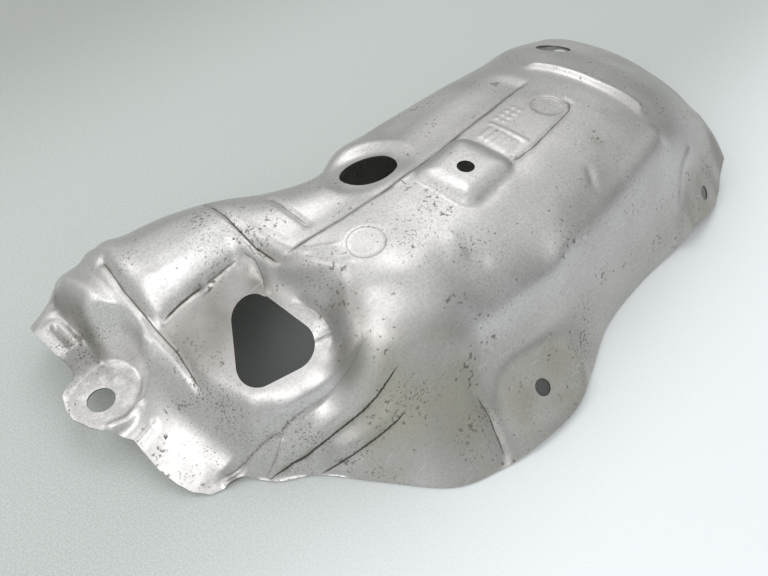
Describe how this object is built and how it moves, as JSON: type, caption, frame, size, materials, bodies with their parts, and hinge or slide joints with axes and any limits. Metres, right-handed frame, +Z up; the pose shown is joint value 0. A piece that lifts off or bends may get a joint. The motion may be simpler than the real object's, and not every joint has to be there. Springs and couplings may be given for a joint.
{
  "type": "exhaust heat shield",
  "caption": "Pressed sheet-metal exhaust heat shield: a domed end and a long flat-topped body with bolt holes, a fixing tab and access openings.",
  "frame": {"origin": "bottom centre of the box round the shield as it stands on its rims", "axes": "+X along the shield from the tab end to the far end, +Y from the front rim to the back rim, +Z up through the crown"},
  "size_m": [0.417, 0.2308, 0.0869],
  "materials": {
    "aluminised_sheet": "satin aluminised sheet, pitted and stained with use"
  },
  "bodies": {
    "root": {"heat_shield": "aluminised_sheet"}
  },
  "joints": []
}
